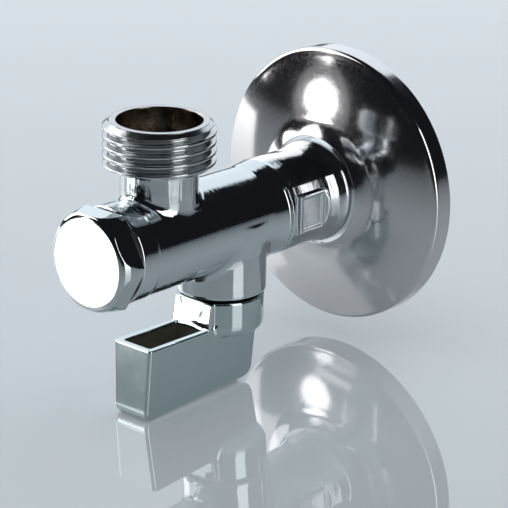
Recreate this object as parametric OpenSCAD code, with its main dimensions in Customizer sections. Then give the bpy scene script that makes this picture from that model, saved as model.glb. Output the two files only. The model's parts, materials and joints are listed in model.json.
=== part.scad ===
// Quarter-turn angle stop valve with a strainer in the barrel.
// +Y runs into the wall, +Z is up, and the origin is the barrel's axis at the wall's surface.

/* [Barrel] */
// Radius of the barrel at its front end
barrel_front_r = 9.4; // [9.3:0.05:9.6]
// Radius of the barrel where it meets the wrench section
barrel_rear_r = 8.9; // [8.7:0.05:9.1]
// Distance of the barrel's front end from the wall
barrel_front = 64.7; // [64:0.1:66]
// Width of the raised band at the barrel's front end
front_band_w = 4.3; // [3:0.1:5]

/* [Wrench section] */
// Distance from the wall of the ridges in front of the flats
section_front = 25.2; // [24.8:0.1:25.6]
// Radius of the ridge in front of each flat
ridge_r = 9.85; // [9.6:0.05:9.9]
// Radius of the barrel between the flats
swell_r = 9.35; // [9.2:0.05:9.5]
// Distance between the two wrench flats
flats_af = 17.2; // [17:0.1:17.6]
// Height of the blank frame raised on each flat
frame_height = 0.75; // [0.4:0.05:0.9]

/* [Outlet] */
// Distance of the outlet's axis from the wall
outlet_y = 51.4; // [51:0.1:52]
// Radius of the outlet's neck
neck_r = 7.25; // [7:0.05:7.6]
// Height of the outlet's rim above the barrel's axis
outlet_top = 23.1; // [22.8:0.1:24]
// Radius of the counterbore in the outlet's mouth
outlet_bore_r = 8.0; // [7.6:0.1:8.2]

/* [Pipe thread] */
// Outer radius of a G 1/2 thread
thread_r = 10.4775; // [10.4775]
// Pitch of a G 1/2 thread, 14 turns to the inch
thread_pitch = 1.8143; // [1.8143]
// Depth of the thread
thread_depth = 1.162; // [1.0:0.01:1.162]
// Length of the inlet thread beyond the wall's surface
inlet_len = 12; // [10:0.5:14]

/* [Strainer plug] */
// Distance of the plug's flat front face from the wall
plug_front = 70; // [69.8:0.1:70.4]
// Radius of the plug's flat front face
plug_face_r = 8.36; // [8:0.02:8.5]
// Radius over the plug's rounded corners
plug_r = 10.15; // [10:0.05:10.3]
// Distance across the plug's flats
plug_af = 18; // [17.8:0.1:18.2]
// Distance of the hexagon's rear edge from the wall
plug_rear = 65.2; // [65.1:0.05:65.4]

/* [Stem and ball] */
// Distance of the stem's axis from the wall
stem_y = 34.7; // [34.4:0.1:35]
// Radius of the boss around the stem
boss_r = 8.55; // [8.4:0.05:8.7]
// Depth of the boss's end below the barrel's axis
boss_bottom = 13.4; // [13.2:0.1:13.5]
// Radius of the ball
ball_r = 6.7; // [6.6:0.05:6.75]
// Radius of the ball's bore
ball_bore_r = 4.2; // [4:0.1:4.2]
// Radius of the stem's shank
stem_r = 3.0; // [2.96:0.01:3.03]

/* [Lever] */
// Radius of the lever's hub
hub_r = 8.2; // [8:0.1:8.4]
// Depth of the hub's top below the barrel's axis
hub_top = 14; // [13.9:0.05:14.1]
// Depth of the handle's top edge
handle_top = 19; // [18.8:0.1:19.2]
// Distance of the handle's front end from the wall
handle_front = 58.9; // [58:0.1:60]
// Half of the handle's width at its top edge
handle_half_w = 4.8; // [4.7:0.05:4.9]
// Half of the handle's width at its bottom edge
handle_foot_half_w = 4.2; // [4.1:0.05:4.4]
// Thickness of the wall around the handle's pocket
pocket_wall = 1.4; // [1.2:0.1:1.6]

/* [Escutcheon] */
// Outer radius of the escutcheon
rose_r = 26.9; // [26:0.1:28]
// Height of the escutcheon's cylindrical rim
rose_rim = 3.5; // [3:0.1:3.8]
// Height of the escutcheon at its collar
rose_height = 9.2; // [8.8:0.1:9.6]
// Radius of the hole that the valve passes through
rose_hole_r = 10.65; // [10.6:0.05:10.8]
// Thickness of the escutcheon's sheet
rose_t = 1.0; // [0.8:0.1:1.1]

/* [Hidden] */
$fn = 96;
eps = 0.01;
seal_gap = 0.05;                    // gap that stands for a seal's squeeze
fit_gap = 0.05;                     // radial clearance of a running fit

// Places along Y, all negative: in front of the wall
y_front = -barrel_front;
y_band = y_front + front_band_w;
y_section = -section_front;
y_flat_front = y_section + 1.0;
y_flat_rear = -15.2;
y_ramp_end = -13.2;
y_waist = -14;
y_collar = -10;
y_body_end = -3.2;
y_outlet = -outlet_y;
y_stem = -stem_y;

// Wall-side end of the body
waist_r = 9.2;
collar_r = 9.95;
flat_half_h = 5.2;
ridge_half_h = 6.4;
ridge_w = 1.3;

// Water way
cavity_r = 7.25;
passage_r = 5.4;
chamber_r = 7.5;
socket_r = 7.65;
mouth_r = 8.75;
y_shoulder = y_stem - 6.95;
y_chamber = y_shoulder - 2.2;
y_socket = -23.4;
riser_r = 5.2;

// Outlet thread
crest_w = 0.46;
root_r = thread_r - thread_depth;
rim_chamfer = 0.32;
thread_base = 14.4;
bore_floor = 14.8;

// Stem, from the ball downwards
tongue_top = -4.95;
shoulder_top = -7.45;
shoulder_bottom = -8.2;
shoulder_r = 4.2;
washer_bottom = -8.7;
stem_end = -19.6;
square_af = 4.4;
square_top = -14.2;
oring_groove_w = 1.25;
oring_groove_r = 2.2;
oring_levels = [-10.1, -12.1];

// Screw that holds the lever
screw_r = 1.5;
head_r = 2.9;
web_bottom = -21.8;
washer_t = 0.6;
head_bottom = -24.6;
recess_r = 3.3;
cover_top = -28.6;
cover_bottom = -30.9;

// Stop pin
pin_r = 0.8;
pin_orbit = 6.2;
pin_angle = 135;
pin_top = -10.4;
pin_bottom = -15.2;
slot_floor = -15.6;
turn = 90;

// Handle outline, seen from the side: distances from the wall and depths
handle_back = 29.4;
handle_back_foot = 30.4;
foot_front = 33.25;
foot_back = 31.1;
hub_block_front = 43.1;
hub_block_bottom = 19.5;
block_lean = 0.17;
hub_bottom = 21.2;
pocket_floor = 28.6;

// Strainer
mesh_r = 4.55;
mesh_t = 0.25;
ring_wall = 0.7;
spigot_r = 7.1;
plug_thread_r = 7.45;

// Escutcheon: a shallow dome that steepens towards the rim, and a flare at the collar
dome_foot_r = 26.2;
dome_k = 0.0102;
dome_centre_r = 6;
flare_r = 14.5;

// Turns a profile of [radius, y] points about the barrel's axis
module turn_y() {
    rotate([-90, 0, 0]) rotate_extrude() children();
}

// Turns a profile of [radius, z] points about the vertical line at distance y
module turn_z(y) {
    translate([0, y, 0]) rotate_extrude() children();
}

// Cylinder along the barrel's axis from y0 to y1
module rod_y(r, y0, y1) {
    translate([0, y0, 0]) rotate([-90, 0, 0]) cylinder(r = r, h = y1 - y0);
}

// Cylinder on the vertical line at distance y from z0 up to z1
module rod_z(r, y, z0, z1) {
    translate([0, y, z0]) cylinder(r = r, h = z1 - z0);
}

// Ring with a square section about the barrel's axis
module ring_y(r_in, r_out, y0, y1) {
    difference() {
        rod_y(r_out, y0, y1);
        rod_y(r_in, y0 - 1, y1 + 1);
    }
}

// Ring with a square section about the vertical line at distance y
module ring_z(r_in, r_out, y, z0, z1) {
    difference() {
        rod_z(r_out, y, z0, z1);
        rod_z(r_in, y, z0 - 1, z1 + 1);
    }
}

// Outline of a threaded rod from height 0 to len, with count ridges at the pipe thread's pitch
// and one chamfered ridge where the thread begins
function thread_outline(len, count, first) = concat(
    [[0, 0], [root_r, 0]],
    [for (i = [0 : count - 1]) each ridge(first + i * thread_pitch)],
    lead_ridge(first + count * thread_pitch),
    [[root_r, len - rim_chamfer], [root_r - rim_chamfer, len], [0, len]]
);

// One ridge of the thread with its crest's middle at height z
function ridge(z) = [
    [root_r, z - thread_pitch / 2 + 0.12],
    [thread_r, z - crest_w / 2],
    [thread_r, z + crest_w / 2],
    [root_r, z + thread_pitch / 2 - 0.12]
];

// Chamfered ridge at the free end of the thread
function lead_ridge(z) = [
    [root_r, z - thread_pitch / 2 + 0.12],
    [thread_r - 0.5, z - 0.35],
    [thread_r - 0.55, z - 0.1],
    [root_r, z + 0.32]
];

module barrel_outside() {
    turn_y() polygon([
        [0, y_front],
        [barrel_front_r - 0.3, y_front],
        [barrel_front_r, y_front + 0.3],
        [barrel_front_r, y_band - 0.25],
        [barrel_front_r - 0.12, y_band],
        [barrel_rear_r, y_section - 4],
        [swell_r, y_section + 0.5],
        [swell_r, y_section + 4],
        [waist_r, y_waist],
        [waist_r + 0.25, y_waist + 2],
        [collar_r, y_collar],
        [collar_r, y_body_end],
        [0, y_body_end]
    ]);
}

// Short raised ridge in front of each flat
module flat_ridges() {
    intersection() {
        rod_y(ridge_r, y_section - 0.2, y_section + ridge_w);
        translate([-15, y_section - 1, -ridge_half_h]) cube([30, ridge_w + 2, 2 * ridge_half_h]);
    }
}

// Flat on the side of the wrench section, with a slanted run-out at its wall end
module wrench_flat_cut() {
    h = flats_af / 2;
    translate([0, 0, -flat_half_h]) linear_extrude(2 * flat_half_h) polygon([
        [h, y_flat_front],
        [h, y_flat_rear],
        [h + 2, y_ramp_end + 1.2],
        [h + 2, y_flat_front]
    ]);
}

// Blank rectangular frame that stands on a wrench flat
module blank_frame() {
    h = flats_af / 2;
    rim = 0.7;
    recess = 0.3;
    y0 = -22.9;
    y1 = -16.1;
    z = 3.8;
    difference() {
        translate([h - 0.5, y0, -z]) cube([frame_height + 0.5, y1 - y0, 2 * z]);
        translate([h + frame_height - recess, y0 + rim, rim - z])
            cube([1, y1 - y0 - 2 * rim, 2 * (z - rim)]);
    }
}

module outlet_outside() {
    turn_z(y_outlet) polygon([
        [0, 0],
        [neck_r, 0],
        [neck_r, thread_base - 0.6],
        [neck_r + 0.6, thread_base],
        [root_r, thread_base + 0.1],
        [0, thread_base + 0.1]
    ]);
    translate([0, y_outlet, thread_base])
        rotate_extrude() polygon(thread_outline(outlet_top - thread_base, 4, 0.8));
}

module water_way() {
    rod_y(chamber_r, y_front - 1, y_chamber);
    rod_y(passage_r, y_chamber - 1, y_shoulder + 1);
    rod_y(cavity_r, y_shoulder, y_socket + 1);
    rod_y(socket_r, y_socket, y_body_end + 1);
    rod_y(mouth_r, y_body_end - 1.1, y_body_end + 1);
    rod_z(riser_r, y_outlet, 0, outlet_top + 1);
    rod_z(outlet_bore_r, y_outlet, bore_floor, outlet_top + 1);
}

module stem_way() {
    rod_z(shoulder_r + seal_gap, y_stem, washer_bottom, 0);
    rod_z(stem_r + fit_gap, y_stem, -boss_bottom - 1, 0);
    rotate_about_stem(pin_angle) translate([pin_orbit, 0, -boss_bottom - 1])
        cylinder(r = pin_r, h = pin_top + boss_bottom + 1);
}

module rotate_about_stem(angle) {
    translate([0, y_stem, 0]) rotate([0, 0, angle]) children();
}

module body() {
    color([0.74, 0.77, 0.79]) difference() {
        union() {
            difference() {
                union() {
                    barrel_outside();
                    flat_ridges();
                }
                wrench_flat_cut();
                mirror([1, 0, 0]) wrench_flat_cut();
            }
            blank_frame();
            mirror([1, 0, 0]) blank_frame();
            outlet_outside();
            turn_z(y_stem) polygon([
                [0, 0],
                [boss_r, 0],
                [boss_r, 0.3 - boss_bottom],
                [boss_r - 0.3, -boss_bottom],
                [0, -boss_bottom]
            ]);
        }
        water_way();
        stem_way();
    }
}

module inlet_connector() {
    spigot_front = y_stem + 7.55;
    color([0.72, 0.60, 0.36]) difference() {
        union() {
            rod_y(cavity_r - 0.1, spigot_front, y_socket + 0.3);
            rod_y(socket_r - 0.1, y_socket + 0.3, y_body_end);
            rod_y(collar_r - 0.05, y_body_end, -1.6);
            rod_y(root_r, -1.7, -0.9);
            translate([0, -1, 0]) rotate([-90, 0, 0])
                rotate_extrude() polygon(thread_outline(inlet_len + 1, 6, 1));
        }
        rod_y(passage_r, spigot_front - 1, inlet_len + 1);
    }
}

module connector_oring() {
    color([0.08, 0.08, 0.08]) ring_y(socket_r - 0.1, mouth_r - seal_gap, y_body_end - 1.1, y_body_end);
}

// Place along Y of the dome's outside at radius r
function dome_y(r) =
    -rose_rim - 0.65 - dome_k * (pow(dome_foot_r - dome_centre_r, 2) - pow(r - dome_centre_r, 2))
    - flare_drop() * pow(max(0, flare_r - r) / (flare_r - rose_hole_r), 2);

// How far the collar's flare stands out from the dome
function flare_drop() = rose_height - rose_rim - 0.65
    - dome_k * (pow(dome_foot_r - dome_centre_r, 2) - pow(rose_hole_r - dome_centre_r, 2));

// Sheet-metal bell: a rim, a low dome and a short flare up to the collar
module escutcheon() {
    inner_r = rose_r - rose_t;
    dome_step = (dome_foot_r - rose_hole_r) / 12;
    outer = [
        [rose_r, 0],
        [rose_r, -rose_rim],
        [rose_r - 0.18, -rose_rim - 0.42],
        for (i = [0 : 12]) [dome_foot_r - i * dome_step, dome_y(dome_foot_r - i * dome_step)]
    ];
    inner = [
        for (i = [12 : -1 : 1]) [dome_foot_r - i * dome_step, dome_y(dome_foot_r - i * dome_step) + rose_t],
        [inner_r, -rose_rim + 0.5],
        [inner_r, 0]
    ];
    color([0.62, 0.63, 0.64]) turn_y() polygon(concat(outer, inner));
}

// Seat that touches the ball on the side where dir is -1 (front) or 1 (wall)
module ball_seat(dir) {
    near = 3.7;
    far = 6.9;
    y0 = y_stem + (dir < 0 ? -far : near);
    color([0.95, 0.95, 0.93]) difference() {
        rod_y(cavity_r - seal_gap, y0, y0 + far - near);
        rod_y(4.35, y0 - 1, y0 + far);
        translate([0, y_stem, 0]) sphere(r = ball_r + fit_gap);
    }
}

module front_seat() {
    ball_seat(-1);
}

module rear_seat() {
    ball_seat(1);
}

module seat_washer() {
    color([0.7, 0.7, 0.72]) ring_y(4.6, cavity_r - 0.1, y_stem + 6.95, y_stem + 7.5);
}

module ball() {
    slot_w = 2.9;
    color([0.82, 0.83, 0.84]) difference() {
        translate([0, y_stem, 0]) sphere(r = ball_r);
        rod_y(ball_bore_r, y_stem - ball_r - 1, y_stem + ball_r + 1);
        translate([-ball_r, y_stem - slot_w / 2, -ball_r - 1])
            cube([2 * ball_r, slot_w, 1 + ball_r + tongue_top + 0.1]);
    }
}

module stem() {
    tongue_w = 2.8;
    color([0.76, 0.64, 0.38]) difference() {
        union() {
            intersection() {
                rod_z(3.6, y_stem, shoulder_top - 0.1, tongue_top);
                translate([-5, y_stem - tongue_w / 2, shoulder_top - 0.1]) cube([10, tongue_w, 5]);
            }
            rod_z(shoulder_r, y_stem, shoulder_bottom, shoulder_top);
            rod_z(stem_r, y_stem, square_top, shoulder_bottom + eps);
            translate([-square_af / 2, y_stem - square_af / 2, stem_end])
                cube([square_af, square_af, square_top - stem_end + eps]);
        }
        for (z = oring_levels)
            ring_z(oring_groove_r, stem_r + 1, y_stem, z - oring_groove_w / 2, z + oring_groove_w / 2);
        rod_z(screw_r, y_stem, stem_end - 1, -13.4);
    }
}

module thrust_washer() {
    color([0.95, 0.95, 0.93])
        ring_z(stem_r + fit_gap, shoulder_r, y_stem, washer_bottom, shoulder_bottom - 0.02);
}

// O-ring in the stem's groove at level z
module stem_oring(z) {
    section_r = 0.4;
    color([0.08, 0.08, 0.08]) turn_z(y_stem) translate([oring_groove_r + section_r, z])
        circle(r = section_r, $fn = 32);
}

module stem_oring_upper() {
    stem_oring(oring_levels[0]);
}

module stem_oring_lower() {
    stem_oring(oring_levels[1]);
}

module stop_pin() {
    color([0.7, 0.7, 0.72]) rotate_about_stem(pin_angle) translate([pin_orbit, 0, pin_bottom])
        cylinder(r = pin_r, h = pin_top - pin_bottom);
}

// Side view of the handle: y to the right, z up
module handle_side() {
    polygon([
        [-handle_front + 0.5, -handle_top],
        [-handle_front, -foot_front + 1.6],
        [-handle_front + 0.4, -foot_front + 0.5],
        [-handle_front + 1.5, -foot_front],
        [-handle_back_foot - 2.2, -foot_back],
        [-handle_back_foot - 0.7, -foot_back + 0.6],
        [-handle_back_foot, -foot_back + 2],
        [-handle_back, -handle_top]
    ]);
}

// Cross-section of the handle: narrower at its foot
module handle_section() {
    foot_slope = 0.9;
    polygon([
        [-handle_half_w, -hub_top],
        [-handle_half_w, -handle_top],
        [-handle_foot_half_w, -foot_front + foot_slope],
        [-handle_foot_half_w + foot_slope, -foot_front - eps],
        [handle_foot_half_w - foot_slope, -foot_front - eps],
        [handle_foot_half_w, -foot_front + foot_slope],
        [handle_half_w, -handle_top],
        [handle_half_w, -hub_top]
    ]);
}

module handle_solid() {
    intersection() {
        translate([-10, 0, 0]) rotate([90, 0, 90]) linear_extrude(20) handle_side();
        rotate([90, 0, 0]) linear_extrude(80) handle_section();
        translate([0, 0, -40]) linear_extrude(40) handle_plan();
    }
}

// Handle seen from above, with rounded front corners
module handle_plan() {
    corner_r = 1.0;
    w = handle_half_w;
    translate([-w + corner_r, -handle_front]) square([2 * (w - corner_r), 40]);
    translate([-w, -handle_front + corner_r]) square([2 * w, 40]);
    for (s = [-1, 1]) translate([s * (w - corner_r), -handle_front + corner_r]) circle(r = corner_r);
}

module hub_solid() {
    intersection() {
        turn_z(y_stem) polygon([
            [0, -hub_top],
            [hub_r - 0.25, -hub_top],
            [hub_r, -hub_top - 0.25],
            [hub_r, -hub_bottom + 1.1],
            [hub_r - 0.35, -hub_bottom + 0.35],
            [hub_r - 1.1, -hub_bottom],
            [0, -hub_bottom]
        ]);
        across(2 * hub_r + 2) leaning_side(-hub_bottom - 1, -hub_top + 1, 10);
    }
    across(2 * handle_half_w) leaning_side(-hub_block_bottom, -hub_top - 0.2, 0);
}

// Prism of the given width in X from a side view
module across(width) {
    translate([-width / 2, 0, 0]) rotate([90, 0, 90]) linear_extrude(width) children();
}

// Side view from z0 up to z1 of all that lies behind the hub's leaning front face, as far as
// the given distance beyond the stem's axis
module leaning_side(z0, z1, beyond) {
    polygon([
        [leaning_y(z0), z0],
        [-stem_y + beyond, z0],
        [-stem_y + beyond, z1],
        [leaning_y(z1), z1]
    ]);
}

// Place of the leaning face at height z
function leaning_y(z) = -hub_block_front + block_lean * (z + hub_block_bottom);

// Arc slot in the hub's top that the stop pin runs in
module stop_slot() {
    margin = 9;
    width = 2 * pin_r + 0.2;
    start = pin_angle - turn - margin;
    translate([0, y_stem, slot_floor]) rotate([0, 0, start]) rotate_extrude(angle = turn + 2 * margin)
        translate([pin_orbit - width / 2, 0]) square([width, 5]);
}

module lever() {
    w = handle_half_w - pocket_wall;
    pocket_front = handle_front - pocket_wall - 0.4;
    square_gap = 0.05;
    color([0.72, 0.75, 0.77]) difference() {
        union() {
            handle_solid();
            hub_solid();
        }
        translate([-w, -pocket_front, -pocket_floor])
            cube([2 * w, pocket_front - hub_block_front, pocket_floor - hub_block_bottom + 2]);
        stop_slot();
        translate([-square_af / 2 - square_gap, y_stem - square_af / 2 - square_gap, stem_end - square_gap])
            cube([square_af + 2 * square_gap, square_af + 2 * square_gap, 10]);
        rod_z(stem_r + 0.2, y_stem, square_top - 0.1, 0);
        rod_z(screw_r + 0.2, y_stem, web_bottom - 1, stem_end + 1);
        rod_z(recess_r, y_stem, -foot_front - 1, web_bottom);
    }
}

module lever_washer() {
    color([0.6, 0.6, 0.62]) ring_z(screw_r + 0.15, head_r, y_stem, web_bottom - washer_t, web_bottom);
}

module lever_screw() {
    head_top = web_bottom - washer_t;
    color([0.66, 0.67, 0.69]) difference() {
        union() {
            rod_z(screw_r, y_stem, head_top - eps, -13.6);
            rod_z(head_r, y_stem, head_bottom, head_top);
        }
        translate([0, y_stem, head_bottom - 1]) cylinder(r = 1.45, h = 2.3, $fn = 6);
    }
}

module screw_cover() {
    color([0.5, 0.5, 0.52]) difference() {
        rod_z(recess_r, y_stem, cover_bottom, cover_top);
        rod_z(recess_r - 0.8, y_stem, cover_bottom + 0.8, cover_top + 1);
    }
}

module plug_hexagon() {
    rotate([-90, 0, 0]) translate([0, 0, -plug_front])
        cylinder(r = plug_af / sqrt(3), h = plug_front - plug_rear, $fn = 6);
}

module plug_rounding() {
    turn_y() polygon([
        [0, -plug_front],
        [plug_face_r, -plug_front],
        [plug_face_r + 0.55, -plug_front + 0.2],
        [plug_face_r + 0.95, -plug_front + 0.65],
        [plug_face_r + 1.3, -plug_front + 1.8],
        [plug_r - 0.1, -plug_front + 3.6],
        [plug_r, -plug_rear],
        [0, -plug_rear]
    ]);
}

module filter_cap() {
    y_spigot = -58.2;
    y_groove = -59.6;
    color([0.78, 0.80, 0.82]) difference() {
        union() {
            intersection() {
                plug_hexagon();
                plug_rounding();
            }
            rod_y(plug_thread_r, -plug_rear - eps, y_groove);
            rod_y(5.95, y_groove - eps, y_groove + 1.1);
            rod_y(spigot_r, y_groove + 1.1 - eps, y_spigot);
        }
        rod_y(5.35, -plug_rear + 1.5, y_spigot + 1);
    }
}

module cap_gasket() {
    color([0.10, 0.10, 0.11]) ring_y(plug_thread_r + 0.02, barrel_front_r - 0.35, -plug_rear, y_front);
}

module cap_oring() {
    ring_r = 6.7;
    section_r = 0.52;
    color([0.08, 0.08, 0.08]) turn_y() translate([ring_r, -59.05]) circle(r = section_r, $fn = 32);
}

module filter_front_ring() {
    color([0.85, 0.85, 0.82]) ring_y(mesh_r + fit_gap, mesh_r + fit_gap + ring_wall, -62.8, -57.2);
}

module filter_mesh() {
    y_windows = -47.4;
    window_w = 1.8;
    color([0.72, 0.73, 0.74]) difference() {
        ring_y(mesh_r - mesh_t, mesh_r, -61.5, y_chamber - 0.4);
        for (row = [0 : 3], a = [0 : 45 : 135])
            translate([0, y_windows - row * 2.6, 0]) rotate([0, a, 0])
                cube([window_w, window_w, 20], center = true);
    }
}

module filter_rear_ring() {
    sleeve_r = mesh_r + fit_gap;
    color([0.85, 0.85, 0.82]) union() {
        ring_y(sleeve_r, sleeve_r + ring_wall, y_chamber - 2.4, y_chamber - 0.8);
        ring_y(sleeve_r, chamber_r - 0.1, y_chamber - 0.85, y_chamber - 0.05);
    }
}

body();
inlet_connector();
connector_oring();
escutcheon();
front_seat();
rear_seat();
seat_washer();
ball();
stem();
thrust_washer();
stem_oring_upper();
stem_oring_lower();
stop_pin();
lever();
lever_washer();
lever_screw();
screw_cover();
filter_cap();
cap_gasket();
cap_oring();
filter_front_ring();
filter_mesh();
filter_rear_ring();
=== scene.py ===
"""Visual model of a chrome quarter-turn angle stop valve with a strainer plug.

+Y runs into the wall, +Z is up, and the origin is the barrel's axis at the wall's surface.
The valve's sizes are in millimetres. The stage and what Blender is given are in metres.
"""
import json
import math

import bpy
import numpy as np
from mathutils import Matrix, Vector


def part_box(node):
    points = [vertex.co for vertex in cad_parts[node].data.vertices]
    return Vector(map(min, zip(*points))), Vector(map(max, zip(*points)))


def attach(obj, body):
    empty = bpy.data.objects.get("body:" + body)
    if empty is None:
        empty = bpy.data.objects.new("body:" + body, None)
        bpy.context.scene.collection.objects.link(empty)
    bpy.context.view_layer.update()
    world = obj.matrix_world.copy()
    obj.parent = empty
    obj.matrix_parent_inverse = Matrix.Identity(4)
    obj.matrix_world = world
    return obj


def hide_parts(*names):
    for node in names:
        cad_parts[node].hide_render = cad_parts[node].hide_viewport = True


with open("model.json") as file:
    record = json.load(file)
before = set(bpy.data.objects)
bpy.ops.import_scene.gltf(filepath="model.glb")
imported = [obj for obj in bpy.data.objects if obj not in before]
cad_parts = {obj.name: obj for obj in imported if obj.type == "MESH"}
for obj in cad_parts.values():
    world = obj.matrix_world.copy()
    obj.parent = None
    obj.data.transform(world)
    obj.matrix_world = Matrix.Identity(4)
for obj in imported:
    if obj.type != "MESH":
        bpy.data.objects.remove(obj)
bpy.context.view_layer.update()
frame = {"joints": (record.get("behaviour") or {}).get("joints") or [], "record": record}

MM = 0.001
TURN = 2 * math.pi


# ---------------------------------------------------------------- sizes taken from the frame
def in_mm(point):
    """Point of the frame in millimetres, without rounding noise."""
    return [round(value / MM, 4) for value in point]


def corners(node):
    """Lowest and highest corners of a CAD node in millimetres."""
    low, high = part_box(node)
    return in_mm(low), in_mm(high)


def named(rows, name):
    """The row of that name in a list of the frame's joints or the record's mounts."""
    return next(row for row in rows if row["name"] == name)


(_, Y_FRONT, BOSS_BOTTOM), (THREAD_R, Y_BODY_END, OUTLET_TOP) = corners("body")
(_, Y_INLET_FRONT, _), (_, INLET_END, _) = corners("inlet_connector")
(_, Y_ROSE_FRONT, _), (ROSE_R, _, _) = corners("escutcheon")
(_, HANDLE_FRONT, FOOT_FRONT), (_, _, HUB_TOP) = corners("lever")
(_, PLUG_FRONT, _), (_, Y_SPIGOT, PLUG_HALF_AF) = corners("filter_cap")
(_, PLUG_REAR, _), _ = corners("cap_gasket")
Y_STEM = in_mm(named(frame["joints"], "lever_turn")["pos_m"])[1]
outlet_bore = named(frame["record"]["mounts"], "outlet_bore")
inlet_bore = named(frame["record"]["mounts"], "inlet_bore")
Y_OUTLET = in_mm(outlet_bore["pos_m"])[1]
BORE_R, PASSAGE_R = outlet_bore["dims"]["r_mm"], inlet_bore["dims"]["r_mm"]

# ---------------------------------------------------------------- driving sizes
# Barrel, from the plug's end to the wall
Y_BAND, Y_SECTION = -60.4, -25.2
BARREL_FRONT_R, BARREL_REAR_R = 9.4, 8.9
SECTION_R, SWELL_R, WAIST_R, COLLAR_R = 9.85, 9.35, 9.2, 9.95
RIDGE_HALF_H, RIDGE_W = 6.4, 1.3
Y_WAIST, Y_COLLAR = -14.0, -10.0
BARREL_BLUR = 0.16

# Wrench flats, and the blank frame on each
FLAT_X, FLAT_HALF_H = 8.6, 5.2
Y_FLAT_FRONT, Y_FLAT_REAR = -24.2, -15.2
PLAQUE_RISE, PLAQUE_RIM, PLAQUE_RECESS = 0.75, 0.7, 0.3
PLAQUE_Y0, PLAQUE_Y1, PLAQUE_HALF_H = -22.9, -16.1, 3.8
PLAQUE_ROOT = 1.0

# Bores along the barrel
CHAMBER_R, CAVITY_R, SOCKET_R, MOUTH_R = 7.5, 7.25, 7.65, 8.75
Y_CHAMBER, Y_SHOULDER, Y_SOCKET = -43.85, -41.65, -23.4
MOUTH_DEPTH = 1.1

# Outlet and the pipe threads
NECK_R, RISER_R = 7.25, 5.2
THREAD_BASE, BORE_FLOOR = 14.4, 14.8
PITCH, THREAD_DEPTH = 1.8143, 1.162
ROOT_R = THREAD_R - THREAD_DEPTH
FIRST_CREST_Z = 15.2
RIM_R, RIM_SLOPE, BASE_SLOPE = 9.0, 1.5, 3.0
NIPPLE_START, NIPPLE_RIM_DROP = -1.6, 0.3

# Stem and its boss
BOSS_R = 8.55
STEM_R, STEM_SHOULDER_R, STEM_SEAT_Z, STEM_PLAY = 3.0, 4.2, -8.7, 0.05

# Lever
HUB_R, HUB_BOTTOM = 8.2, -21.2
HANDLE_TOP, HANDLE_HALF_W, HANDLE_FOOT_HALF_W = -19.0, 4.8, 4.2
HANDLE_FRONT_TOP, HANDLE_BACK, HANDLE_BACK_FOOT = -58.4, -29.4, -30.4
FOOT_BACK = -31.1
BLOCK_FRONT, BLOCK_BOTTOM, BLOCK_LEAN = -43.1, -19.5, 0.17
POCKET_WALL, POCKET_FRONT_EXTRA, POCKET_FLOOR, POCKET_BACK = 1.4, 0.4, -28.6, -43.1
SCREW_RECESS_R, WEB_BOTTOM, WEB_TOP, SOCKET_PLAY = 3.3, -21.8, -19.7, 0.2

# Strainer plug
PLUG_FACE_R, PLUG_R = 8.36, 10.15
PLUG_THREAD_R, PLUG_THREAD_PITCH, PLUG_THREAD_DEPTH = 7.45, 1.0, 0.5
SPIGOT_R, GROOVE_R, Y_GROOVE, GROOVE_W = 7.1, 5.95, -59.6, 1.1
PLUG_BORE_R, PLUG_FLOOR = 5.35, -63.7
FACE_DISH_R, FACE_DISH = 5.6, 0.04
GASKET_INSET = 0.35

# Escutcheon
ROSE_RIM, ROSE_HEIGHT, ROSE_HOLE_R, ROSE_T = 3.5, -Y_ROSE_FRONT, 10.65, 1.0
DOME_FOOT_R, DOME_STEP, DOME_K, DOME_CENTRE_R, FLARE_R = 26.2, 0.65, 0.0102, 6.0, 14.5

# Radii of broken edges and filled corners
BREAK, BORE_EDGE, FLAT_EDGE, CAST_EDGE, TURNED_EDGE = 0.3, 0.12, 0.22, 0.3, 0.5
ROOT_FILLET, THREAD_FILLET, HUB_FILLET = 1.3, 0.9, 0.9

# Cell sizes of the meshed surfaces
BODY_CELL, LEVER_CELL, PLUG_CELL = 0.33, 0.21, 0.16


# ---------------------------------------------------------------- signed distances
def smooth_min(a, b, k):
    """Union of two solids, with the corner between them filled over about k."""
    h = np.maximum(k - np.abs(a - b), 0.0) / k
    return np.minimum(a, b) - h * h * k * 0.25


def smooth_max(a, b, k):
    """Common part of two solids, with the edge between them broken over about k."""
    return -smooth_min(-a, -b, k)


def slab(v, low, high):
    """Signed distance to the layer between low and high."""
    return np.maximum(low - v, v - high)


def half_plane(y, z, a, b):
    """Distance outside the line from a to b in the side view, with the solid on its right."""
    (ya, za), (yb, zb) = a, b
    length = math.hypot(yb - ya, zb - za)
    return ((y - ya) * (zb - za) - (z - za) * (yb - ya)) / -length


def rounded_box(x, y, z, centre, half, r):
    """Signed distance to a box of those half sizes, with edges of radius r."""
    q = [np.abs(v - c) - (h - r) for v, c, h in zip((x, y, z), centre, half)]
    outside = np.sqrt(sum(np.maximum(v, 0) ** 2 for v in q))
    return outside + np.minimum(np.maximum.reduce(q), 0) - r


def smoothed_outline(points, blur):
    """Function of one coordinate through the points, with its corners rounded over about blur."""
    at, value = np.array(points, dtype=float).T
    fine = np.arange(at[0] - 4 * blur, at[-1] + 4 * blur, blur / 5)
    raw = np.interp(fine, at, value)
    kernel = np.exp(-0.5 * (np.arange(-15, 16) / 5.0) ** 2)
    soft = np.convolve(np.pad(raw, 15, mode="edge"), kernel / kernel.sum(), mode="valid")
    return lambda v: np.interp(v, fine, soft)


def gradient(field, p, h=0.01):
    """Slope of a field at each point, from steps of h either way."""
    g = np.empty_like(p)
    for axis in range(3):
        step = np.zeros(3)
        step[axis] = h
        g[:, axis] = (field(*(p + step).T) - field(*(p - step).T)) / (2 * h)
    return g


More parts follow.
